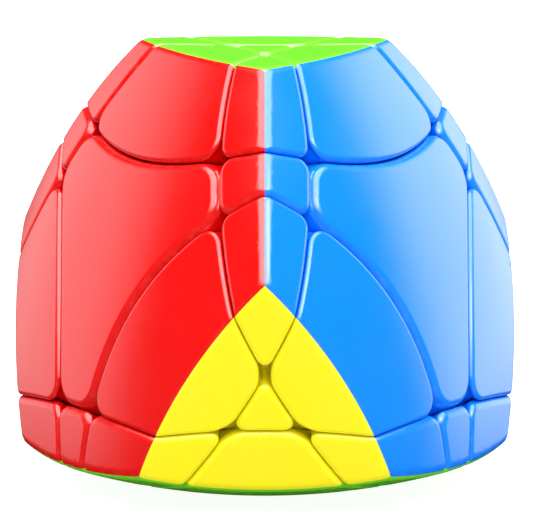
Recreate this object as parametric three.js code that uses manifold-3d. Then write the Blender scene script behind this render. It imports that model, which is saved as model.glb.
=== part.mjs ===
// Truncated-pyramid twisty puzzle: a tetrahedron with domed faces and flattened corners, cut so that
// four corner caps turn on cones and four face layers turn on planes. Millimetres, +Z up.
// The origin is the centre of the core, where all eight turning axes meet.

import * as THREE from 'three';
import { mergeVertices } from 'three/addons/utils/BufferGeometryUtils.js';
import Module from 'manifold-3d';

const wasm = await Module();
wasm.setup();

// ---- Driving dimensions ----

const FLAT_DISTANCE = 36;                      // core centre to each flat corner triangle
const DOME_RADIUS = 2.8454 * FLAT_DISTANCE;    // sphere that each large face is part of
const DOME_OFFSET = 2.0611 * FLAT_DISTANCE;    // its centre, along the corner axis opposite the face
const FACE_CUT = 0.42 * FLAT_DISTANCE;         // core centre to the plane under each face layer
const CONE_TIP = 0.315 * FLAT_DISTANCE;        // tip of the cone under each corner cap, on its axis
const CONE_SLOPE = 0.474;                      // rise of that cone along the axis per unit of radius
const CONE_BEND = 26.45;                       // past this radius the cone opens a little wider
const CONE_OUTER_SLOPE = 0.42;

// Near the outside, the cut under a face layer drops from its plane to a lip, and rises from there.
const LIP = { inner: 29.6, outer: 31.2, height: 14.2, slope: 0.302 };

const HALF_GAP = 0.15;                         // each piece stands back this far from a cut
const RUNNING_GAP = 0.3;                       // clearance of what slides or turns
const REACH = 48;                              // radius of cutting solids, just past the whole puzzle
const SEGMENTS = 24;                           // sides of a round cut, so a 30 degree turn repeats it
const ROUND_SEGMENTS = 12;                     // sides of small round details
const RING_SEGMENTS = 20;                      // and of the tongues and grooves
const BORE_SEGMENTS = 8;

const DOME_FLAT = 4;                           // radius of the small flat at a dome's pole
const DOME_RINGS = 4;

const TONGUE_DEPTH = 1.6;                      // how far a tongue stands into its neighbour
const TONGUE_INNER = 22.2;                     // radii of the ring that the tongues run in
const TONGUE_OUTER = 25.8;

// The anchor under a trapezoid, seen across its width: [towards the face axis, away from the core],
// from the inner edge where the cap's cone meets the layer's plane. It is a neck with two toes.
const ANCHOR_WIDTH = 6.4;
const ANCHOR_PROFILE = [
  [-0.9, 2.2], [-1.6, 0.9], [-1.6, -3.3], [-2.8, -5.2], [-2, -7.6],
  [2.4, -7.4], [4.4, -4.6], [1.6, -2.4], [1.6, 0.6], [0.6, 2.2],
];
const HUB_WAIST = { radius: 7.2, top: 18.2 };  // the hub is this narrow beside the anchors' necks
const FACE_WAIST = { radius: 8.8, top: 17.5 };

const CORNER_STEM = 3.7;                       // radius of a hub where it stands on the core
const FACE_BOSS = 4.6;

const CORE_BALL = 8.5;
const CORNER_POST = { radius: 2.9, top: 10.6 };
const FACE_POST = { radius: 3.2, top: 14.2 };
const THREAD_BORE = 1.3;

const CORNER_FASTENER = {
  seat: 10.9, floor: 13.4, clearHole: 1.4, well: 2.5,
  shank: 1.1, tip: 4.2, head: 2.2, headAt: 19, headTop: 20.6,
};
const FACE_FASTENER = {
  seat: 14.5, floor: 16.8, clearHole: 1.4, well: 2.7, wellTop: 24.5,
  shank: 1.1, tip: 6, head: 2.3, headAt: 21.8, headTop: 23.4,
};
const SPRING = { wire: 0.3, turns: 2.5, stepsPerTurn: 8, sides: 4, inset: 0.5 };
const HEX_SOCKET = { radius: 1.1, depth: 0.9 };

const CENTRE_SPLIT = 30.6;                     // a corner centre's cap sits on its hub here
const PLUG_RADIUS = 2.2;
const PLUG_END = 26.5;

const RED = '#fe2a25';
const BLUE = '#1e9cff';
const YELLOW = '#fff22e';
const GREEN = '#8cf53c';
const NYLON = '#e9e7e0';
const STEEL = '#b9bdc2';

// ---- The four corners, and the large face opposite each ----

const EDGE_TILT = Math.sqrt(8) / 3;
const CORNERS = [
  { name: 'top', face: 'base', colour: GREEN, axis: [0, 0, 1] },
  { name: 'front', face: 'back', colour: YELLOW, axis: [0, -EDGE_TILT, -1 / 3] },
  { name: 'rear_left', face: 'right', colour: BLUE, axis: [-Math.sqrt(2 / 3), EDGE_TILT / 2, -1 / 3] },
  { name: 'rear_right', face: 'left', colour: RED, axis: [Math.sqrt(2 / 3), EDGE_TILT / 2, -1 / 3] },
];
for (const corner of CORNERS) {
  corner.up = new THREE.Vector3(...corner.axis).normalize();
  corner.down = corner.up.clone().negate();
}
const [TOP, FRONT] = CORNERS;

// ---- Turning three.js geometry into solids and back ----

function toSolid(geometry) {
  const bare = geometry.index ? geometry.clone() : geometry;
  bare.deleteAttribute('normal');
  bare.deleteAttribute('uv');
  const merged = mergeVertices(bare, 1e-5);
  const place = merged.attributes.position;
  const kept = [];
  for (let face = 0; face < merged.index.count; face += 3) {
    const [a, b, c] = [0, 1, 2].map((step) => merged.index.getX(face + step));
    if (a !== b && b !== c && c !== a) kept.push(a, b, c);
  }
  return new wasm.Manifold(new wasm.Mesh({
    numProp: 3,
    vertProperties: new Float32Array(place.array),
    triVerts: new Uint32Array(kept),
  }));
}

function toGeometry(solid) {
  const mesh = solid.getMesh();
  const geometry = new THREE.BufferGeometry();
  geometry.setAttribute('position', new THREE.BufferAttribute(mesh.vertProperties, 3));
  geometry.setIndex(new THREE.BufferAttribute(mesh.triVerts, 1));
  geometry.computeVertexNormals();
  return geometry;
}

const cut = (solid, tools) => tools.reduce((left, tool) => left.subtract(tool), solid);
const common = (solids) => solids.reduce((left, right) => left.intersect(right));
const joined = (solids) => solids.reduce((left, right) => left.add(right));

// Turns +Y to the axis, and +Z to the side of the axis that the guide is on.
function facing(axis, guide) {
  const side = guide.clone().addScaledVector(axis, -guide.dot(axis)).normalize();
  const third = new THREE.Vector3().crossVectors(axis, side);
  return new THREE.Matrix4().makeBasis(third, axis, side);
}

const guideFor = (axis) => CORNERS.find((corner) => Math.abs(corner.up.dot(axis)) < 0.9).up;

// A profile of [radius, height] points turned about an axis. It runs anticlockwise, as seen with the
// radius to the right and the height up, and a profile that is off the axis closes on itself.
function turned(profile, axis, segments = SEGMENTS) {
  const points = profile.map(([radius, height]) => new THREE.Vector2(radius, height));
  const touchesAxis = profile[0][0] === 0;
  if (!touchesAxis) points.push(points[0].clone());
  const geometry = new THREE.LatheGeometry(points, segments);
  return toSolid(geometry.applyMatrix4(facing(axis, guideFor(axis))));
}

const disc = (radius, low, high, axis, segments = ROUND_SEGMENTS) => turned(
  [[0, low], [radius, low], [radius, high], [0, high]],
  axis,
  segments,
);

const ring = (inner, outer, low, high, axis, segments = RING_SEGMENTS) => turned(
  [[inner, low], [outer, low], [outer, high], [inner, high]],
  axis,
  segments,
);

// ---- The outside, and the two kinds of cut ----

// A plug along a corner's axis: the dome of the opposite face below, the flat triangle's plane above.
function domedPlug(axis) {
  const height = (radius) => DOME_OFFSET - Math.sqrt(DOME_RADIUS ** 2 - radius ** 2);
  const profile = [[0, height(0)], [DOME_FLAT, height(0)]];
  for (let step = 1; step <= DOME_RINGS; step += 1) {
    const radius = DOME_FLAT + (REACH - DOME_FLAT) * (step / DOME_RINGS);
    profile.push([radius, height(radius)]);
  }
  profile.push([REACH, FLAT_DISTANCE], [0, FLAT_DISTANCE]);
  return turned(profile, axis);
}

// Everything above the cone of a corner cap, moved up its axis by the gap.
function coneCap(axis, gap) {
  const tip = CONE_TIP + gap * Math.hypot(1, CONE_SLOPE);
  const bend = tip + CONE_SLOPE * CONE_BEND;
  return turned([
    [0, tip],
    [CONE_BEND, bend],
    [REACH, bend + CONE_OUTER_SLOPE * (REACH - CONE_BEND)],
    [REACH, 2 * REACH],
    [0, 2 * REACH],
  ], axis);
}

// Everything past the cut of a face layer, moved out by the gap.
function faceLayer(axis, gap) {
  const plane = FACE_CUT + gap;
  const lip = LIP.height + gap;
  return turned([
    [0, plane],
    [LIP.inner, plane],
    [LIP.outer, lip],
    [REACH, lip + LIP.slope * (REACH - LIP.outer)],
    [REACH, 2 * REACH],
    [0, 2 * REACH],
  ], axis);
}

const BODY = common(CORNERS.map((corner) => domedPlug(corner.up)));
const CAP = CORNERS.map((corner) => coneCap(corner.up, HALF_GAP));
const CAP_CLEAR = CORNERS.map((corner) => coneCap(corner.up, -HALF_GAP));
const LAYER = CORNERS.map((corner) => faceLayer(corner.down, HALF_GAP));
const LAYER_CLEAR = CORNERS.map((corner) => faceLayer(corner.down, -HALF_GAP));

// ---- Tongues and the ring-shaped grooves that they run in, just under each face layer's plane ----

const TONGUE = CORNERS.map((corner) => ring(
  TONGUE_INNER, TONGUE_OUTER, FACE_CUT - TONGUE_DEPTH, FACE_CUT + 2 * HALF_GAP, corner.down,
));
const GROOVE = CORNERS.map((corner) => ring(
  TONGUE_INNER - RUNNING_GAP, TONGUE_OUTER + RUNNING_GAP,
  FACE_CUT - TONGUE_DEPTH - RUNNING_GAP, FACE_CUT + 2 * HALF_GAP, corner.down,
));

// ---- The anchor of a trapezoid, on the inner edge where its cap's cone meets its layer's plane ----

function anchor() {
  // Seen from the corner axis, the layer's plane is height / 3 + EDGE_TILT * radius = FACE_CUT.
  const radius = (FACE_CUT - CONE_TIP / 3) / (EDGE_TILT + CONE_SLOPE / 3);
  const height = CONE_TIP + CONE_SLOPE * radius;
  const across = new THREE.Vector3().crossVectors(FRONT.down, TOP.up).normalize();
  const side = new THREE.Vector3().crossVectors(TOP.up, across);
  const edge = TOP.up.clone().multiplyScalar(height).addScaledVector(side, radius);
  const out = edge.clone().normalize();
  const towardsFace = new THREE.Vector3().crossVectors(out, across);
  const profile = new THREE.Shape(ANCHOR_PROFILE.map(([along, away]) => new THREE.Vector2(along, away)));
  const bar = new THREE.ExtrudeGeometry(profile, { depth: ANCHOR_WIDTH, bevelEnabled: false });
  bar.translate(0, 0, -ANCHOR_WIDTH / 2);
  const depth = new THREE.Vector3().crossVectors(towardsFace, out);
  bar.applyMatrix4(new THREE.Matrix4().makeBasis(towardsFace, out, depth));
  return toSolid(bar.translate(edge.x, edge.y, edge.z));
}

// ---- One of each kind of piece, at the top corner, the front corner's side or the base ----

function coreBall() {
  const ball = toSolid(new THREE.IcosahedronGeometry(CORE_BALL, 2));
  const posts = CORNERS.flatMap((corner) => [
    disc(CORNER_POST.radius, 0, CORNER_POST.top, corner.up),
    disc(FACE_POST.radius, 0, FACE_POST.top, corner.down),
  ]);
  const bores = CORNERS.flatMap((corner) => [
    disc(THREAD_BORE, CORNER_FASTENER.tip - RUNNING_GAP, REACH, corner.up, BORE_SEGMENTS),
    disc(THREAD_BORE, FACE_FASTENER.tip - RUNNING_GAP, REACH, corner.down, BORE_SEGMENTS),
  ]);
  return cut(joined([ball, ...posts]), bores);
}

function screw(fastener) {
  const blank = turned([
    [0, fastener.tip],
    [fastener.shank * 0.5, fastener.tip],
    [fastener.shank, fastener.tip + fastener.shank],
    [fastener.shank, fastener.headAt],
    [fastener.head, fastener.headAt],
    [fastener.head, fastener.headTop],
    [0, fastener.headTop],
  ], TOP.up, ROUND_SEGMENTS);
  const socket = disc(HEX_SOCKET.radius, fastener.headTop - HEX_SOCKET.depth, REACH, TOP.up, 6);
  return cut(blank, [socket]);
}

class Helix extends THREE.Curve {
  constructor(radius, low, high, turns) {
    super();
    Object.assign(this, { radius, low, high, turns });
  }

  getPoint(t, target = new THREE.Vector3()) {
    const angle = 2 * Math.PI * this.turns * t;
    const height = this.low + (this.high - this.low) * t;
    return target.set(this.radius * Math.cos(angle), this.radius * Math.sin(angle), height);
  }
}

function spring(fastener) {
  const { wire, turns, stepsPerTurn, sides, inset } = SPRING;
  const section = new THREE.Shape();
  for (let side = 0; side < sides; side += 1) {
    const angle = (2 * Math.PI * side) / sides;
    section[side ? 'lineTo' : 'moveTo'](wire * Math.cos(angle), wire * Math.sin(angle));
  }
  const path = new Helix(
    fastener.well - inset - wire, fastener.floor + inset, fastener.headAt - inset, turns,
  );
  return toSolid(new THREE.ExtrudeGeometry(section, {
    steps: Math.round(turns * stepsPerTurn), extrudePath: path, bevelEnabled: false,
  }));
}

const fastenerHoles = (fastener, top, axis) => [
  disc(fastener.clearHole, 0, top, axis, BORE_SEGMENTS),
  disc(fastener.well, fastener.floor, top, axis),
];

// The centre of a corner cap is a hub on the core, with a small triangular cap over its screw.
const SIDE_FACES = [1, 2, 3];
const CORNER_CENTRE = cut(common([BODY, CAP[0]]), SIDE_FACES.map((face) => LAYER_CLEAR[face]));

function cornerCap() {
  const above = disc(REACH, CENTRE_SPLIT + HALF_GAP, REACH, TOP.up, SEGMENTS);
  const plug = disc(PLUG_RADIUS, PLUG_END, CENTRE_SPLIT + 2 * HALF_GAP, TOP.up);
  return joined([common([CORNER_CENTRE, above]), plug]);
}

function cornerHub() {
  const below = disc(REACH, 0, CENTRE_SPLIT - HALF_GAP, TOP.up, SEGMENTS);
  const stem = disc(CORNER_STEM, CORNER_FASTENER.seat, HUB_WAIST.top, TOP.up);
  const waist = ring(HUB_WAIST.radius, REACH, 0, HUB_WAIST.top, TOP.up, ROUND_SEGMENTS);
  return cut(joined([common([CORNER_CENTRE, below]), stem]), [
    waist,
    ...SIDE_FACES.map((face) => GROOVE[face]),
    ...fastenerHoles(CORNER_FASTENER, REACH, TOP.up),
  ]);
}

// Between the top cap's centre and the back face.
function trapezoid() {
  const block = cut(common([BODY, CAP[0], LAYER[1]]), [
    LAYER_CLEAR[2], LAYER_CLEAR[3], GROOVE[2], GROOVE[3],
  ]);
  return joined([block, anchor()]);
}

// On the ridge from the top corner to the front one, where the right and left faces meet: the kite is
// the top cap's part of it, and the edge is the part between the two caps.
const RIDGE = common([BODY, LAYER[2], LAYER[3]]);
const RIDGE_TONGUES = [common([TONGUE[2], LAYER[3]]), common([TONGUE[3], LAYER[2]])];
const RIDGE_PARTS = [RIDGE, ...RIDGE_TONGUES];

const kite = () => joined(RIDGE_PARTS.map((part) => common([part, CAP[0]])));

const edge = () => joined(RIDGE_PARTS.map((part) => cut(part, [CAP_CLEAR[0], CAP_CLEAR[1]])));

function faceCentre() {
  const waist = ring(FACE_WAIST.radius, REACH, 0, FACE_WAIST.top, TOP.down, ROUND_SEGMENTS);
  const plate = cut(common([BODY, LAYER[0]]), [
    waist,
    ...SIDE_FACES.flatMap((side) => [LAYER_CLEAR[side], CAP_CLEAR[side], GROOVE[side]]),
  ]);
  const boss = disc(FACE_BOSS, FACE_FASTENER.seat, FACE_FASTENER.floor, TOP.down);
  return cut(joined([plate, boss]), fastenerHoles(FACE_FASTENER, FACE_FASTENER.wellTop, TOP.down));
}

const SHAPES = {
  cap: toGeometry(cornerCap()),
  hub: toGeometry(cornerHub()),
  trapezoid: toGeometry(trapezoid()),
  kite: toGeometry(kite()),
  edge: toGeometry(edge()),
  face: toGeometry(faceCentre()),
  cornerScrew: toGeometry(screw(CORNER_FASTENER)),
  cornerSpring: toGeometry(spring(CORNER_FASTENER)),
  faceScrew: toGeometry(screw(FACE_FASTENER)),
  faceSpring: toGeometry(spring(FACE_FASTENER)),
};

// ---- The puzzle: each kind of piece turned to each of its places ----

const PLASTIC = { roughness: 0.28, metalness: 0 };
const METAL = { roughness: 0.35, metalness: 1 };

const puzzle = new THREE.Group();

// The turn that carries the top and front corners, or other directions 109.5 degrees apart, to two more.
function turnTo(first, second) {
  return facing(first, second).multiply(facing(TOP.up, FRONT.up).invert());
}

function addPiece(name, shape, colour, finish, turn) {
  const material = new THREE.MeshStandardMaterial({ color: colour, ...finish });
  const mesh = new THREE.Mesh(SHAPES[shape] ?? shape, material);
  mesh.name = name;
  if (turn) mesh.setRotationFromMatrix(turn);
  puzzle.add(mesh);
}

addPiece('core', toGeometry(coreBall()), NYLON, { roughness: 0.6, metalness: 0 });

for (const corner of CORNERS) {
  const neighbours = CORNERS.filter((other) => other !== corner);
  const home = turnTo(corner.up, neighbours[0].up);
  const opposite = turnTo(corner.down, neighbours[0].down);
  addPiece(`corner_cap_${corner.name}`, 'cap', corner.colour, PLASTIC, home);
  addPiece(`corner_hub_${corner.name}`, 'hub', corner.colour, PLASTIC, home);
  addPiece(`corner_screw_${corner.name}`, 'cornerScrew', STEEL, METAL, home);
  addPiece(`corner_spring_${corner.name}`, 'cornerSpring', STEEL, METAL, home);
  addPiece(`face_centre_${corner.face}`, 'face', corner.colour, PLASTIC, home);
  addPiece(`face_screw_${corner.face}`, 'faceScrew', STEEL, METAL, opposite);
  addPiece(`face_spring_${corner.face}`, 'faceSpring', STEEL, METAL, opposite);
  for (const other of neighbours) {
    const turn = turnTo(corner.up, other.up);
    const ridgeColour = neighbours.find((third) => third !== other).colour;
    addPiece(`trapezoid_${corner.name}_${other.face}`, 'trapezoid', other.colour, PLASTIC, turn);
    addPiece(`kite_${corner.name}_${other.name}`, 'kite', corner.colour, PLASTIC, turn);
    if (CORNERS.indexOf(other) > CORNERS.indexOf(corner)) {
      addPiece(`edge_${corner.name}_${other.name}`, 'edge', ridgeColour, PLASTIC, turn);
    }
  }
}

export default puzzle;
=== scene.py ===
"""Truncated-pyramid twisty puzzle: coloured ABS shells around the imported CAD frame.

Each piece that shows is a set of closed shells, one for each of its colours, over an inside cut from its CAD
node. Both are worked out once, at the top corner, and turned to their other places. Lengths are in millimetres
until a mesh is made.
"""
import math

import bmesh
import bpy
import numpy as np
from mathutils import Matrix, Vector


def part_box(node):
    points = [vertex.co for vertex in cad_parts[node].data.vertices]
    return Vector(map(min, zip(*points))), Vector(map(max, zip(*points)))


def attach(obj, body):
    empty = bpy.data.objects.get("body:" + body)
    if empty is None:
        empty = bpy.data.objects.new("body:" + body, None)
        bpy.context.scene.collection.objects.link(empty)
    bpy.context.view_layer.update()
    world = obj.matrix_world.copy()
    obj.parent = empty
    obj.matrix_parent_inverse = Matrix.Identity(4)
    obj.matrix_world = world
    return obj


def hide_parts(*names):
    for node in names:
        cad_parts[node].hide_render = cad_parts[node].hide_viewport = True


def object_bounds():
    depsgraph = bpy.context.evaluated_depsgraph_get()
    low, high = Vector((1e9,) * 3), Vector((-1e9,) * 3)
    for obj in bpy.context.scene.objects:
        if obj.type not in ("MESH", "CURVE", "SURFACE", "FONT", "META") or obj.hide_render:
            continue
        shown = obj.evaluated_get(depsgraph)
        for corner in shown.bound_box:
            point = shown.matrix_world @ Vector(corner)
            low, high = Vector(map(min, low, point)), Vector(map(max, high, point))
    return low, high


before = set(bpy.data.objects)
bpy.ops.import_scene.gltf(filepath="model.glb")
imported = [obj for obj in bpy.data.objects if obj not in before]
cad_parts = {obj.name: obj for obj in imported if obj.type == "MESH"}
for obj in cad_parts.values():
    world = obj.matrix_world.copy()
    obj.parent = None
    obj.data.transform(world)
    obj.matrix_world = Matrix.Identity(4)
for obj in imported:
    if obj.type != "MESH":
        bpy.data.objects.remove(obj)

cad_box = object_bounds()

# ---- Dimensions of the solid, which its pieces are cut from ----

MM = 0.001
FLAT_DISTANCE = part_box("corner_cap_top")[1].z / MM  # core centre to each flat corner triangle
DOME_RADIUS = 2.8454 * FLAT_DISTANCE  # sphere that each large face is part of
DOME_OFFSET = 2.0611 * FLAT_DISTANCE  # its centre, along the corner axis opposite the face
FACE_CUT = 0.42 * FLAT_DISTANCE  # core centre to the plane under each face layer
CONE_TIP = 0.315 * FLAT_DISTANCE  # tip of the cone under each corner cap
CONE_SLOPE = 0.474
CONE_BEND = 26.45  # past this radius the cone opens a little wider
CONE_OUTER_SLOPE = 0.42
LIP_RADII = (29.6, 31.2, 48.0)  # the cut under a layer drops from its plane to a lip, and rises from there
LIP_SLOPE = 0.302
LIP_HEIGHTS = (FACE_CUT, 14.2, 14.2 + LIP_SLOPE * (LIP_RADII[2] - LIP_RADII[1]))
HALF_GAP = 0.06  # each piece stands back this far from a cut

RIDGE_ROUND = 1.22  # rounding where two large faces meet
RIM_ROUND = 0.8  # and where a large face meets a flat
FILLET = 0.85  # radius along the edges of most pieces
FACE_FILLET = 1.5  # and of the face centres
CORNER_ROUND = 2.3  # rounding of a piece's corners at the surface
CONE_CORNER_ROUND = 3.7  # but on the cones, a trapezoid's and a face centre's are wider
KITE_ROUND = 1.8  # and a kite's are tighter
CORNER_ROUND_DEEP = 0.2  # corners come to a point as they go down, between these depths
CORNER_DEPTHS = (1.5, 4.0)

# ---- Steps of the grids ----

FINE_STEPS = 1440  # directions in which an outline is first found
WIDEST = 1.3  # no outline reaches this tangent of the angle from its centre
HALVINGS = 22
LONGEST_STEP = 1.1
SHARPEST_STEP = math.radians(9)
FILLET_STEPS = 7
WALL_DEPTHS = (6.5, 4.6, 3.0, 2.1, 1.4)
NEAR_EDGE = (0.1, 0.22, 0.38, 0.6, 0.9, 1.3, 1.8, 2.5, 3.5)  # rows of the outer surface, from the edge
NARROW = 5.0  # where the edge is nearer to the centre than this, those rows close up
INWARD = (0.8, 0.55, 0.28)  # and then as shares of what is left
SEARCH_DIRECTIONS = 20000
ROUNDING_PASSES = 4
SLOPE_STEP = 0.001
NORMAL_STEP = 0.002
LEVEL_ENOUGH = 0.1  # a direction less along a corner's axis than this never meets its flat
OUT_OF_REACH = 1e3
TINY = 1e-12  # keeps the normal of a sliver finite

EDGE_TILT = math.sqrt(8) / 3
CORNERS = ("top", "front", "rear_left", "rear_right")
FACES = ("base", "back", "right", "left")  # each is opposite the corner of the same place in the list
COLOURS = ("green", "yellow", "blue", "red")
AXES = np.array([
    (0, 0, 1),
    (0, -EDGE_TILT, -1 / 3),
    (-math.sqrt(2 / 3), EDGE_TILT / 2, -1 / 3),
    (math.sqrt(2 / 3), EDGE_TILT / 2, -1 / 3),
])
CORE_BODY = "core_and_faces"


def unit(vectors):
    return vectors / np.linalg.norm(vectors, axis=-1, keepdims=True)


# ---- The solid and its cuts, as distances: positive inside ----


def rounded(first, second, radius):
    """Depth inside two walls whose shared edge is rounded: the lesser depth, and near the edge a circle's."""
    corner = np.hypot(np.maximum(radius - first, 0), np.maximum(radius - second, 0))
    return np.maximum(radius, np.minimum(first, second)) - corner


def surfaces(points):
    """Depths under the four domes, each its radius less the distance from its centre, and the four flats."""
    domes = [DOME_RADIUS - np.linalg.norm(points - DOME_OFFSET * axis, axis=-1) for axis in AXES]
    flats = [FLAT_DISTANCE - points @ axis for axis in AXES]
    return domes, flats


def body_depth(points):
    """Depth under the whole outside, with its ridges and the rims of its flats rounded."""
    domes, flats = surfaces(points)
    depth = domes[0]
    for dome in domes[1:]:
        depth = rounded(depth, dome, RIDGE_ROUND)
    for flat in flats:
        depth = rounded(depth, flat, RIM_ROUND)
    return depth


def sharp_depth(points):
    domes, flats = surfaces(points)
    return np.min(np.stack(domes + flats), axis=0)


def wall_depth(points, wall):
    """Depth behind one cut, each a height over the radius about its corner's axis. A cap's is a cone with a
    bend, and a layer's, on the far side of the core, a plane with a lip. Side is 1 past the cut, and -1 short
    of it."""
    kind, corner, side = wall[:3]
    height = points @ AXES[corner]
    radius = np.sqrt(np.maximum(np.sum(points * points, axis=-1) - height * height, 0))
    if kind == "layer":
        cut = np.interp(radius, LIP_RADII, LIP_HEIGHTS)
        return side * (-height - cut) / math.hypot(1, LIP_SLOPE) - HALF_GAP
    cut = CONE_TIP + CONE_SLOPE * np.minimum(radius, CONE_BEND)
    cut = cut + CONE_OUTER_SLOPE * np.maximum(radius - CONE_BEND, 0)
    return side * (height - cut) / math.hypot(1, CONE_SLOPE) - HALF_GAP


def walls_depth(points, walls, below):
    """Depth behind all of a shell's walls. The rounding of its corners falls evenly from its size at the
    surface to its size deep down, and a wall may carry a rounding of its own."""
    share = np.clip((below - CORNER_DEPTHS[0]) / (CORNER_DEPTHS[1] - CORNER_DEPTHS[0]), 0, 1)
    depth = wall_depth(points, walls[0])
    for wall in walls[1:]:
        top_round = wall[3] if len(wall) > 3 else CORNER_ROUND
        depth = rounded(depth, wall_depth(points, wall), top_round + (CORNER_ROUND_DEEP - top_round) * share)
    return depth


def surface_reach(directions, surface, depth=0.0):
    """Distance along each direction to one dome or flat, sunk by a depth."""
    kind, corner = surface
    along = directions @ AXES[corner]
    if kind == "flat":
        distance = (FLAT_DISTANCE - depth) / np.maximum(along, LEVEL_ENOUGH)
        return np.where(along > LEVEL_ENOUGH, distance, OUT_OF_REACH)
    middle = DOME_OFFSET * along
    return middle + np.sqrt(middle**2 + (DOME_RADIUS - depth) ** 2 - DOME_OFFSET**2)


def reach(directions, depth):
    """Distance along each direction to where the rounded outside is this deep: the nearest sharp surface,
    then Newton's steps inwards for the rounding."""
    surfaces_met = [(kind, corner) for kind in ("dome", "flat") for corner in range(4)]
    distance = np.min(np.stack([surface_reach(directions, met, depth) for met in surfaces_met]), axis=0)
    for _ in range(ROUNDING_PASSES):
        here = body_depth(distance[..., None] * directions)
        slope = (body_depth((distance - SLOPE_STEP)[..., None] * directions) - here) / SLOPE_STEP
        distance = distance + (here - depth) / slope
    return distance


def colour_split(directions, mine, other):
    """Positive where my surface is met before the other one."""
    return surface_reach(directions, other) - surface_reach(directions, mine)


# ---- One closed shell ----


def roomiest(walls, mine, others, deepest):
    """The direction that is furthest inside the shell at its surface and at its foot, of many spread evenly
    over a sphere (a spiral whose turns advance by the golden angle)."""
    steps = np.arange(SEARCH_DIRECTIONS) + 0.5
    height = 1 - 2 * steps / SEARCH_DIRECTIONS
    angle = math.pi * (1 + math.sqrt(5)) * steps
    level = np.sqrt(1 - height**2)
    directions = np.stack([level * np.cos(angle), level * np.sin(angle), height], axis=-1)
    rooms = [colour_split(directions, mine, other) for other in others]
    for depth in (0.0, deepest):
        points = reach(directions, depth)[:, None] * directions
        rooms.append(walls_depth(points, walls, depth))
    return directions[np.argmax(np.min(np.stack(rooms), axis=0))]


def crossing(room, shape):
    """The radius at which the room left runs out, found by halving the range again and again."""
    low = np.zeros(shape)
    high = np.full(shape, WIDEST)
    for _ in range(HALVINGS):
        middle = (low + high) / 2
        inside = room(middle) > 0
        low = np.where(inside, middle, low)
        high = np.where(inside, high, middle)
    return (low + high) / 2


def corner_points(limits, turns):
    """Where one limit hands over to the next around an outline: [index before, point, limit that starts]."""
    active = np.argmin(limits, axis=0)
    found = []
    for before in np.flatnonzero(active != np.roll(active, -1)):
        after = (before + 1) % len(turns)
        old, new = active[before], active[after]
        ahead = limits[old, before] - limits[new, before]
        behind = limits[old, after] - limits[new, after]
        share = ahead / (ahead - behind)
        radius = limits[old, before] + share * (limits[old, after] - limits[old, before])
        turn = turns[before] + share * (turns[1] - turns[0])
        found.append((int(before), radius * np.array([math.cos(turn), math.sin(turn)]), int(new)))
    return found


def stretches(limits, turns):
    """The outline as polylines, one for each stretch under one limit, the first under the walls."""
    points = np.min(limits, axis=0)[:, None] * np.stack([np.cos(turns), np.sin(turns)], axis=-1)
    corners = corner_points(limits, turns)
    if not corners:
        return [(0, np.vstack([points, points[:1]]))]
    first = next(place for place, corner in enumerate(corners) if corner[2] == 0)
    corners = corners[first:] + corners[:first]
    result = []
    for (start, start_point, limit), (end, end_point, _) in zip(corners, corners[1:] + corners[:1]):
        inner = np.arange(start + 1, start + 1 + (end - start) % len(turns)) % len(turns)
        result.append((limit, np.vstack([start_point[None], points[inner], end_point[None]])))
    return result


def spread_measure(line):
    """Running measure along a polyline: length and turning, each as a count of the steps allowed."""
    sides = np.diff(line, axis=0)
    lengths = np.linalg.norm(sides, axis=1) * FLAT_DISTANCE
    heading = np.unwrap(np.arctan2(sides[:, 1], sides[:, 0]))
    turning = np.abs(np.diff(heading, prepend=heading[0]))
    measure = lengths / LONGEST_STEP + turning / SHARPEST_STEP
    return np.concatenate([[0], np.cumsum(measure)])


def resampled(line, count):
    """The polyline as that many points, evenly spread by its measure. Its end is left to the next one."""
    measure = spread_measure(line)
    wanted = np.linspace(0, measure[-1], count, endpoint=False)
    return np.stack([np.interp(wanted, measure, line[:, side]) for side in (0, 1)], axis=-1)


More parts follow.
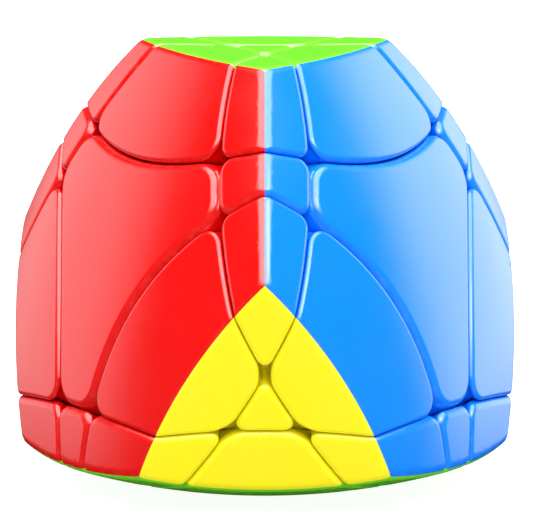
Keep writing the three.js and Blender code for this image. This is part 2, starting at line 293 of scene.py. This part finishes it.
def shell(walls, mine, others, deepest, fillet=FILLET):
    """One closed shell: rows up its walls, rows around a fillet, and rows over the outer surface to a pole.

    A point is a direction (a place on the plane across the shell's centre direction) and the distance at
    which the outside is a given depth above it. A wall row has no room left to the walls. A fillet row is a
    point of a quarter circle: room = radius * (1 - cos), depth = radius * (1 - sin). A colour's border runs
    straight down."""
    centre = roomiest(walls, mine, others, deepest)
    side = unit(np.cross(centre, AXES[1] if abs(centre @ AXES[1]) < 0.9 else AXES[2]))
    basis = np.stack([side, np.cross(centre, side)])

    def directions(flat_points):
        return unit(centre + flat_points @ basis)

    quarter = np.linspace(0, math.pi / 2, FILLET_STEPS + 1)
    wall_rows = [depth for depth in (deepest, *WALL_DEPTHS) if depth <= deepest]
    depth = np.concatenate([wall_rows, fillet * (1 - np.sin(quarter))])[:, None]
    inset = np.concatenate([np.zeros(len(wall_rows)), fillet * (1 - np.cos(quarter))])[:, None]
    turns = np.linspace(0, 2 * math.pi, FINE_STEPS, endpoint=False)
    circle = np.stack([np.cos(turns), np.sin(turns)], axis=-1)

    def room_to_walls(radius):
        heading = directions(radius[..., None] * circle)
        points = reach(heading, depth)[..., None] * heading
        return walls_depth(points, walls, depth) - inset

    limits = [crossing(room_to_walls, (len(depth), FINE_STEPS))]
    for other in others:
        def room_to_border(radius):
            return colour_split(directions(radius[..., None] * circle), mine, other)

        limits.append(np.broadcast_to(crossing(room_to_border, FINE_STEPS), limits[0].shape))
    outlines = [stretches(np.array(row), turns) for row in np.stack(limits, axis=1)]
    counts = [math.ceil(spread_measure(line)[-1]) for _, line in outlines[len(wall_rows)]]
    split_column = np.concatenate([
        np.full(count, limit > 0) for count, (limit, _) in zip(counts, outlines[0])
    ])
    flat_rows = np.array([
        np.vstack([resampled(line, count) for count, (_, line) in zip(counts, outline)])
        for outline in outlines
    ])

    rim = flat_rows[-1]
    size = np.linalg.norm(rim, axis=1) * FLAT_DISTANCE
    shares = [1 - near / np.maximum(size, NARROW) for near in NEAR_EDGE]
    shares += [shares[-1] * share for share in INWARD]
    inner_rows = np.stack(shares)[..., None] * rim
    headings = directions(np.concatenate([flat_rows, inner_rows]))
    depths = np.concatenate([depth, np.zeros((len(shares), 1))])
    grid = reach(headings, depths)[..., None] * headings
    poles = reach(np.stack([centre, centre]), np.array([deepest, 0.0]))[:, None] * centre
    points = np.vstack([grid.reshape(-1, 3), poles])
    point_depth = np.concatenate([np.repeat(depths, len(rim)), [deepest, 0.0]])

    def shape_depth(places):
        inside = walls_depth(places, walls, point_depth)
        return rounded(inside, body_depth(places), fillet)

    normals = -unit(np.stack([
        shape_depth(points + NORMAL_STEP * axis) - shape_depth(points - NORMAL_STEP * axis)
        for axis in np.eye(3)
    ], axis=-1))
    inside = walls_depth(points, walls, point_depth)
    # Share of a fillet's depth that the rounding takes off here: the rounded edges and ridges, which the
    # material paints paler, partly as rub wear and partly as a painted highlight.
    taken_off = np.minimum(inside, sharp_depth(points)) / (fillet * (1 - math.sqrt(0.5)))
    return {
        "points": points,
        "normals": normals,
        "wear": np.clip(taken_off, 0, 1),
        "rows": len(grid),
        "rim_row": len(flat_rows) - 1,
        "split_column": split_column,
    }


def shell_faces(shape):
    """Quads between the rows, and a fan to each pole, and for each face whether it shades flat."""
    columns = len(shape["split_column"])
    index = np.arange(shape["rows"] * columns).reshape(shape["rows"], columns)
    after = np.roll(index, -1, axis=1)
    quads = np.stack([index[:-1], after[:-1], after[1:], index[1:]], axis=-1).reshape(-1, 4)
    below_rim = np.arange(shape["rows"] - 1)[:, None] < shape["rim_row"]
    flat = (below_rim & shape["split_column"][None]).reshape(-1)
    foot, top = index.size, index.size + 1
    foot_fan = np.stack([np.full(columns, foot), after[0], index[0]], axis=-1)
    top_fan = np.stack([index[-1], after[-1], np.full(columns, top)], axis=-1)
    return quads, flat, foot_fan, top_fan


def face_normals(points, faces):
    """Normals of quads, from their diagonals, or of triangles. The small number keeps a sliver's finite."""
    across = points[faces[:, 2]] - points[faces[:, 0]]
    other = points[faces[:, -1]] - points[faces[:, 1]]
    return unit(np.cross(across, other) + TINY)


def new_object(name, data):
    made = bpy.data.objects.new(name, data)
    bpy.context.scene.collection.objects.link(made)
    return made


def put_shell(name, shape, turn, material):
    """Makes the mesh of a shell that is turned to its place, with the shape's own normals at its corners."""
    points = shape["points"] @ turn.T
    normals = shape["normals"] @ turn.T
    quads, flat, foot_fan, top_fan = shell_faces(shape)
    corner_normals = normals[quads]
    corner_normals[flat] = face_normals(points, quads)[flat][:, None]
    foot_side = np.repeat(face_normals(points, foot_fan)[:, None], 3, axis=1)
    mesh = bpy.data.meshes.new(name)
    mesh.from_pydata((points * MM).tolist(), [], quads.tolist() + foot_fan.tolist() + top_fan.tolist())
    mesh.shade_smooth()
    mesh.normals_split_custom_set(np.concatenate([
        corner_normals.reshape(-1, 3), foot_side.reshape(-1, 3), normals[top_fan].reshape(-1, 3)
    ]).tolist())
    # The rounded edges, for the material's paler edge tone: partly rub wear, partly a painted highlight.
    mesh.attributes.new("edge_wear", "FLOAT", "POINT").data.foreach_set("value", shape["wear"])
    mesh.materials.append(material)
    return new_object(name, mesh)


# ---- Materials ----


def linear(hex_colour):
    """An sRGB hex value as linear red, green, blue and a full alpha."""
    parts = [int(hex_colour[place:place + 2], 16) / 255 for place in (1, 3, 5)]
    return (*(part / 12.92 if part <= 0.04045 else ((part + 0.055) / 1.055) ** 2.4 for part in parts), 1)


def add_node(tree, kind, settings, inputs):
    """Adds a node, gives it its settings, and sets or links its inputs."""
    made = tree.nodes.new(kind)
    for name, value in settings.items():
        setattr(made, name, value)
    for name, value in inputs.items():
        if isinstance(value, bpy.types.NodeSocket):
            tree.links.new(value, made.inputs[name])
        else:
            made.inputs[name].default_value = value
    return made


def per_metre(feature_mm):
    return 1 / (feature_mm * MM)


def moulded_abs(name, colour, worn_and_sheen_colour):
    """Glossy ABS from a polished mould: clean colour, sharp highlights, a faint ripple from the mould's
    polish, handling that dulls it in patches, and rounded edges painted a little paler in patches, partly as
    rub wear and partly as a painted highlight. Its specular level and IOR are above plain ABS's, for a
    polished surface under a large light."""
    material = bpy.data.materials.new(name)
    material.use_nodes = True
    tree = material.node_tree
    shader = tree.nodes["Principled BSDF"]
    place = add_node(tree, "ShaderNodeTexCoord", {}, {}).outputs["Object"]
    patches = add_node(tree, "ShaderNodeTexNoise", {}, {
        "Vector": place, "Scale": per_metre(9), "Detail": 3.0, "Roughness": 0.55,
    })
    rub_and_sheen_noise = add_node(tree, "ShaderNodeTexNoise", {}, {
        "Vector": place, "Scale": per_metre(1.6), "Detail": 4.0, "Roughness": 0.6,
    })
    grain = add_node(tree, "ShaderNodeTexNoise", {}, {
        "Vector": place, "Scale": per_metre(0.45), "Detail": 2.0, "Roughness": 0.5,
    })
    # Rounded edges painted paler in noisy patches: partly rub wear, partly a painted highlight along the
    # edges.
    edge = add_node(tree, "ShaderNodeAttribute", {"attribute_name": "edge_wear"}, {})
    rub_and_sheen_patches = add_node(tree, "ShaderNodeMapRange", {}, {
        "Value": rub_and_sheen_noise.outputs["Fac"], "From Min": 0.45, "From Max": 0.75, "To Min": 0.0, "To Max": 0.35,
    })
    wear = add_node(tree, "ShaderNodeMath", {"operation": "MULTIPLY"}, {
        0: edge.outputs["Fac"], 1: rub_and_sheen_patches.outputs["Result"],
    })
    tone = add_node(tree, "ShaderNodeMix", {"data_type": "RGBA"}, {
        0: wear.outputs["Value"], 6: linear(colour), 7: linear(worn_and_sheen_colour),
    })
    tree.links.new(tone.outputs[2], shader.inputs["Base Color"])
    gloss = add_node(tree, "ShaderNodeMapRange", {}, {
        "Value": patches.outputs["Fac"], "From Min": 0.3, "From Max": 0.7, "To Min": 0.13, "To Max": 0.2,
    })
    dulled = add_node(tree, "ShaderNodeMath", {"operation": "MULTIPLY_ADD"}, {
        0: wear.outputs["Value"], 1: 0.25, 2: gloss.outputs["Result"],
    })
    tree.links.new(dulled.outputs["Value"], shader.inputs["Roughness"])
    ripple = add_node(tree, "ShaderNodeBump", {}, {
        "Strength": 1.0, "Distance": 0.0007 * MM, "Height": grain.outputs["Fac"],
    })
    tree.links.new(ripple.outputs["Normal"], shader.inputs["Normal"])
    shader.inputs["IOR"].default_value = 1.6
    shader.inputs["Specular IOR Level"].default_value = 0.85
    return material


def moulded_nylon(name):
    """Unfilled nylon, moulded: off-white, with a dull waxy sheen and a fine dry texture."""
    material = bpy.data.materials.new(name)
    material.use_nodes = True
    tree = material.node_tree
    shader = tree.nodes["Principled BSDF"]
    place = add_node(tree, "ShaderNodeTexCoord", {}, {}).outputs["Object"]
    cloud = add_node(tree, "ShaderNodeTexNoise", {}, {
        "Vector": place, "Scale": per_metre(5), "Detail": 3.0,
    })
    grain = add_node(tree, "ShaderNodeTexNoise", {}, {
        "Vector": place, "Scale": per_metre(0.35), "Detail": 2.0,
    })
    tone = add_node(tree, "ShaderNodeMix", {"data_type": "RGBA"}, {
        0: cloud.outputs["Fac"], 6: linear("#e3e0d6"), 7: linear("#efede6"),
    })
    tree.links.new(tone.outputs[2], shader.inputs["Base Color"])
    gloss = add_node(tree, "ShaderNodeMapRange", {}, {
        "Value": cloud.outputs["Fac"], "To Min": 0.45, "To Max": 0.62,
    })
    tree.links.new(gloss.outputs["Result"], shader.inputs["Roughness"])
    ripple = add_node(tree, "ShaderNodeBump", {}, {"Distance": 0.006 * MM, "Height": grain.outputs["Fac"]})
    tree.links.new(ripple.outputs["Normal"], shader.inputs["Normal"])
    shader.inputs["IOR"].default_value = 1.53
    return material


def zinc_plated_steel(name):
    """Turned or drawn steel with bright zinc plate: cool grey, with fine drawing marks that blur what it
    reflects."""
    material = bpy.data.materials.new(name)
    material.use_nodes = True
    tree = material.node_tree
    shader = tree.nodes["Principled BSDF"]
    shader.inputs["Metallic"].default_value = 1.0
    place = add_node(tree, "ShaderNodeTexCoord", {}, {}).outputs["Object"]
    bloom = add_node(tree, "ShaderNodeTexNoise", {}, {
        "Vector": place, "Scale": per_metre(2.5), "Detail": 4.0,
    })
    marks = add_node(tree, "ShaderNodeTexNoise", {}, {
        "Vector": place, "Scale": per_metre(0.15), "Detail": 1.0,
    })
    tone = add_node(tree, "ShaderNodeMix", {"data_type": "RGBA"}, {
        0: bloom.outputs["Fac"], 6: linear("#a9adb3"), 7: linear("#c9ccd0"),
    })
    tree.links.new(tone.outputs[2], shader.inputs["Base Color"])
    gloss = add_node(tree, "ShaderNodeMapRange", {}, {
        "Value": bloom.outputs["Fac"], "To Min": 0.25, "To Max": 0.42,
    })
    tree.links.new(gloss.outputs["Result"], shader.inputs["Roughness"])
    ripple = add_node(tree, "ShaderNodeBump", {}, {"Distance": 0.003 * MM, "Height": marks.outputs["Fac"]})
    tree.links.new(ripple.outputs["Normal"], shader.inputs["Normal"])
    return material


ABS = {
    # Each second colour is the paler tone painted on rounded edges: partly rub wear, partly a painted
    # highlight.
    "green": moulded_abs("moulded_abs_green", "#72d927", "#95e25c"),
    "yellow": moulded_abs("moulded_abs_yellow", "#f6e916", "#f8ef6c"),
    "blue": moulded_abs("moulded_abs_blue", "#067bf3", "#4c9ff6"),
    "red": moulded_abs("moulded_abs_red", "#d60806", "#e0544c"),
}
NYLON = moulded_nylon("moulded_nylon_core")
STEEL = zinc_plated_steel("zinc_plated_steel")

# ---- One of each kind of piece, at the top corner, its ridge to the front, or the base ----

CAP_DEPTH = 5.2  # how deep the shells go
TILE_DEPTH = 8.0
KITE_TOP_DEPTH = 7.5
FACE_DEPTH = 3.6
CAP = [("cap", 0, 1), ("layer", 1, -1), ("layer", 2, -1), ("layer", 3, -1)]
KITE = [("layer", 2, 1), ("layer", 3, 1), ("cap", 0, 1, KITE_ROUND)]
TRAPEZOID = [("layer", 2, -1), ("layer", 3, -1), ("layer", 1, 1), ("cap", 0, 1, CONE_CORNER_ROUND)]
EDGE = [("layer", 2, 1), ("layer", 3, 1), ("cap", 0, -1), ("cap", 1, -1)]
FACE_CENTRE = [("layer", 0, 1)] + [("layer", side, -1) for side in (1, 2, 3)]
FACE_CENTRE += [("cap", side, -1, CONE_CORNER_ROUND) for side in (1, 2, 3)]
PIECES = {  # the shells of each kind, with the corner whose colour each has
    "corner_cap": [(0, shell(CAP, ("flat", 0), [], CAP_DEPTH))],
    "kite": [
        (0, shell(KITE, ("flat", 0), [("dome", 2), ("dome", 3)], KITE_TOP_DEPTH)),
        (2, shell(KITE, ("dome", 2), [("flat", 0), ("dome", 3)], TILE_DEPTH)),
        (3, shell(KITE, ("dome", 3), [("flat", 0), ("dome", 2)], TILE_DEPTH)),
    ],
    "trapezoid": [
        (0, shell(TRAPEZOID, ("flat", 0), [("dome", 1)], TILE_DEPTH)),
        (1, shell(TRAPEZOID, ("dome", 1), [("flat", 0)], TILE_DEPTH)),
    ],
    "edge": [
        (2, shell(EDGE, ("dome", 2), [("dome", 3)], TILE_DEPTH)),
        (3, shell(EDGE, ("dome", 3), [("dome", 2)], TILE_DEPTH)),
    ],
    "face_centre": [(0, shell(FACE_CENTRE, ("dome", 0), [], FACE_DEPTH, FACE_FILLET))],
}

# ---- What is under the shells: anchors, tongues, plugs and bosses ----

HOMES = {  # the CAD node at home for each kind, and how deep its inside starts, just under its shells
    "corner_cap": ("corner_cap_top", CAP_DEPTH + 0.07),
    "kite": ("kite_top_front", TILE_DEPTH + 0.02),
    "trapezoid": ("trapezoid_top_back", TILE_DEPTH + 0.02),
    "edge": ("edge_top_front", TILE_DEPTH + 0.02),
    "face_centre": ("face_centre_base", FACE_DEPTH + 0.02),
}
BALL_LEVELS = 5
MERGE_DISTANCE = 1e-7  # metres


def sunk_body(depth):
    """The whole outside, sunk by a depth: an icosphere with each point moved out along its direction."""
    ball = bmesh.new()
    bmesh.ops.create_icosphere(ball, subdivisions=BALL_LEVELS, radius=1.0)
    mesh = bpy.data.meshes.new("sunk_body")
    ball.to_mesh(mesh)
    ball.free()
    directions = np.empty(3 * len(mesh.vertices))
    mesh.vertices.foreach_get("co", directions)
    directions = unit(directions.reshape(-1, 3))
    points = reach(directions, depth)[:, None] * directions
    mesh.vertices.foreach_set("co", (points * MM).ravel())
    mesh.update()
    return new_object("sunk_body", mesh)


def inside_of(node, depth):
    """The part of a CAD node that is deeper than this, as vertices and polygons."""
    merged = bmesh.new()
    merged.from_mesh(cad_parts[node].data)
    bmesh.ops.remove_doubles(merged, verts=merged.verts, dist=MERGE_DISTANCE)
    mesh = bpy.data.meshes.new("inside")
    merged.to_mesh(mesh)
    merged.free()
    piece, body = new_object("inside", mesh), sunk_body(depth)
    trim = piece.modifiers.new("trim", "BOOLEAN")
    trim.operation, trim.solver, trim.object = "INTERSECT", "EXACT", body
    trimmed = piece.evaluated_get(bpy.context.evaluated_depsgraph_get())
    done = bpy.data.meshes.new_from_object(trimmed)
    points = np.empty(3 * len(done.vertices))
    done.vertices.foreach_get("co", points)
    polygons = [tuple(polygon.vertices) for polygon in done.polygons]
    bpy.data.objects.remove(piece)
    bpy.data.objects.remove(body)
    return points.reshape(-1, 3), polygons


def put_inside(name, inside, turn, material):
    points, polygons = inside
    mesh = bpy.data.meshes.new(name)
    mesh.from_pydata((points @ turn.T).tolist(), [], polygons)
    mesh.materials.append(material)
    return new_object(name, mesh)


INSIDES = {kind: inside_of(node, depth) for kind, (node, depth) in HOMES.items()}


def frame_of(first, second):
    """Three square axes: the first, the second's part across it, and the one across both."""
    along = unit(second - (second @ first) * first)
    return np.stack([np.cross(first, along), first, along], axis=1)


def put_piece(kind, node, body, corner, other):
    """Turns a kind's shells and inside from the top and front corners to these two, in the colours there."""
    turn = frame_of(AXES[corner], AXES[other]) @ frame_of(AXES[0], AXES[1]).T
    colours = [COLOURS[int(np.argmax(AXES @ (turn @ AXES[source])))] for source, _ in PIECES[kind]]
    for colour, (_, shape) in zip(colours, PIECES[kind]):
        piece = put_shell(f"{node}_{colour}", shape, turn, ABS[colour])
        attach(piece, body)
        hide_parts(node)
    inner = put_inside(f"{node}_inside", INSIDES[kind], turn, ABS[colours[0]])
    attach(inner, body)
    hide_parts(node)


for corner, name in enumerate(CORNERS):
    cap_body = f"{name}_turning_cap"
    rest = [other for other in range(4) if other != corner]
    put_piece("corner_cap", f"corner_cap_{name}", cap_body, corner, rest[0])
    put_piece("face_centre", f"face_centre_{FACES[corner]}", CORE_BODY, corner, rest[0])
    for other in rest:
        put_piece("trapezoid", f"trapezoid_{name}_{FACES[other]}", cap_body, corner, other)
        put_piece("kite", f"kite_{name}_{CORNERS[other]}", cap_body, corner, other)
        if other > corner:
            put_piece("edge", f"edge_{name}_{CORNERS[other]}", CORE_BODY, corner, other)

for node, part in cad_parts.items():
    if part.hide_render:
        continue
    if node == "core":
        finish = NYLON
    elif "screw" in node or "spring" in node:
        finish = STEEL
    else:
        finish = ABS[COLOURS[CORNERS.index(node.replace("corner_hub_", ""))]]
    for place in range(len(part.data.materials)):
        part.data.materials[place] = finish

# ---- Camera, lights and floor ----

CAMERA_DISTANCE = 1.6951
CAMERA_ELEVATION = math.radians(9.433)
CAMERA_AIM = Vector((0.00024, 0, 0.00498))
CAMERA_LENS = 788.5
CAMERA_SENSOR = 36
camera = new_object("camera", bpy.data.cameras.new("camera"))
camera.data.sensor_width = CAMERA_SENSOR
camera.data.lens = CAMERA_LENS
camera.location = Vector((0, -math.cos(CAMERA_ELEVATION), math.sin(CAMERA_ELEVATION))) * CAMERA_DISTANCE
camera.rotation_euler = (CAMERA_AIM - camera.location).to_track_quat("-Z", "Y").to_euler()
bpy.context.scene.camera = camera


def softbox(name, place, size, radiance):
    """A flat panel of light aimed at the core. Its power is radiance * area * pi."""
    light = bpy.data.lights.new(name, "AREA")
    light.shape = "RECTANGLE"
    light.size, light.size_y = size
    light.energy = radiance * size[0] * size[1] * math.pi
    panel = new_object(name, light)
    panel.location = place
    panel.rotation_euler = (-Vector(place)).to_track_quat("-Z", "Y").to_euler()


softbox("softbox_key_right", (0.85, -1.05, 1.25), (0.9, 0.7), 3.6)

world = bpy.data.worlds.new("studio")
world.use_nodes = True
bpy.context.scene.world = world


def soft_panel(tree, heading, azimuth, elevation, outer, inner, radiance):
    """A soft-edged light on the studio's walls or ceiling: its radiance is full up to the inner angle from
    its middle and gone at the outer one. Azimuth 0 is the front, and 90 the right."""
    azimuth, elevation = math.radians(azimuth), math.radians(elevation)
    level = math.cos(elevation)
    middle = (math.sin(azimuth) * level, -math.cos(azimuth) * level, math.sin(elevation))
    near = add_node(tree, "ShaderNodeVectorMath", {"operation": "DOT_PRODUCT"}, {0: heading, 1: middle})
    return add_node(tree, "ShaderNodeMapRange", {"interpolation_type": "SMOOTHSTEP"}, {
        "Value": near.outputs["Value"], "From Min": math.cos(math.radians(outer)),
        "From Max": math.cos(math.radians(inner)), "To Min": 0.0, "To Max": radiance,
    }).outputs["Result"]


ROOM = 0.055  # radiance of the walls between the lights
PANELS = [(0, 75, 63, 39, 3.8), (-132, 2, 32, 12, 0.95), (136, 4, 31, 12, 1.9)]
HORIZON = (-0.28, -0.03)  # heights on the unit sphere between which the room falls off to its dark floor
DARK_FLOOR = 0.1
BACKDROP = 1.0  # radiance of what the camera sees behind the object
tree = world.node_tree
background = tree.nodes["Background"]
heading = add_node(tree, "ShaderNodeTexCoord", {}, {}).outputs["Generated"]
light = ROOM
for panel in PANELS:
    radiance = soft_panel(tree, heading, *panel)
    light = add_node(tree, "ShaderNodeMath", {"operation": "ADD"}, {0: light, 1: radiance}).outputs["Value"]
height = add_node(tree, "ShaderNodeSeparateXYZ", {}, {"Vector": heading}).outputs["Z"]
above = add_node(tree, "ShaderNodeMapRange", {"interpolation_type": "SMOOTHSTEP"}, {
    "Value": height, "From Min": HORIZON[0], "From Max": HORIZON[1], "To Min": DARK_FLOOR, "To Max": 1.0,
}).outputs["Result"]
lit = add_node(tree, "ShaderNodeMath", {"operation": "MULTIPLY"}, {0: light, 1: above}).outputs["Value"]
seen = add_node(tree, "ShaderNodeLightPath", {}, {}).outputs["Is Camera Ray"]
shown = add_node(tree, "ShaderNodeMix", {"data_type": "FLOAT"}, {0: seen, 2: lit, 3: BACKDROP})
tree.links.new(shown.outputs[0], background.inputs["Strength"])
background.inputs["Color"].default_value = (1, 1, 1, 1)


def lit_white_acrylic():
    """A sheet of white acrylic lit from under: an even near-white with no gloss. It glows less on the object
    than it shows, so that the undersides keep their shade."""
    material = bpy.data.materials.new("lit_white_acrylic")
    material.use_nodes = True
    tree = material.node_tree
    shader = tree.nodes["Principled BSDF"]
    shader.inputs["Base Color"].default_value = linear("#a0a0a0")
    shader.inputs["Roughness"].default_value = 0.9
    shader.inputs["Specular IOR Level"].default_value = 0.0
    shader.inputs["Emission Color"].default_value = linear("#ffffff")
    seen = add_node(tree, "ShaderNodeLightPath", {}, {}).outputs["Is Camera Ray"]
    glow = add_node(tree, "ShaderNodeMapRange", {}, {"Value": seen, "To Min": 0.3, "To Max": 0.92})
    tree.links.new(glow.outputs["Result"], shader.inputs["Emission Strength"])
    return material


FLOOR_HALF = 3.0
FLOOR_CORNERS = ((-1, -1), (1, -1), (1, 1), (-1, 1))
floor_mesh = bpy.data.meshes.new("floor")
floor_mesh.from_pydata(
    [(FLOOR_HALF * x, FLOOR_HALF * y, cad_box[0][2]) for x, y in FLOOR_CORNERS], [], [(0, 1, 2, 3)]
)
floor_mesh.materials.append(lit_white_acrylic())
floor = new_object("floor", floor_mesh)
floor.visible_glossy = False

bpy.context.scene.view_settings.view_transform = "Standard"
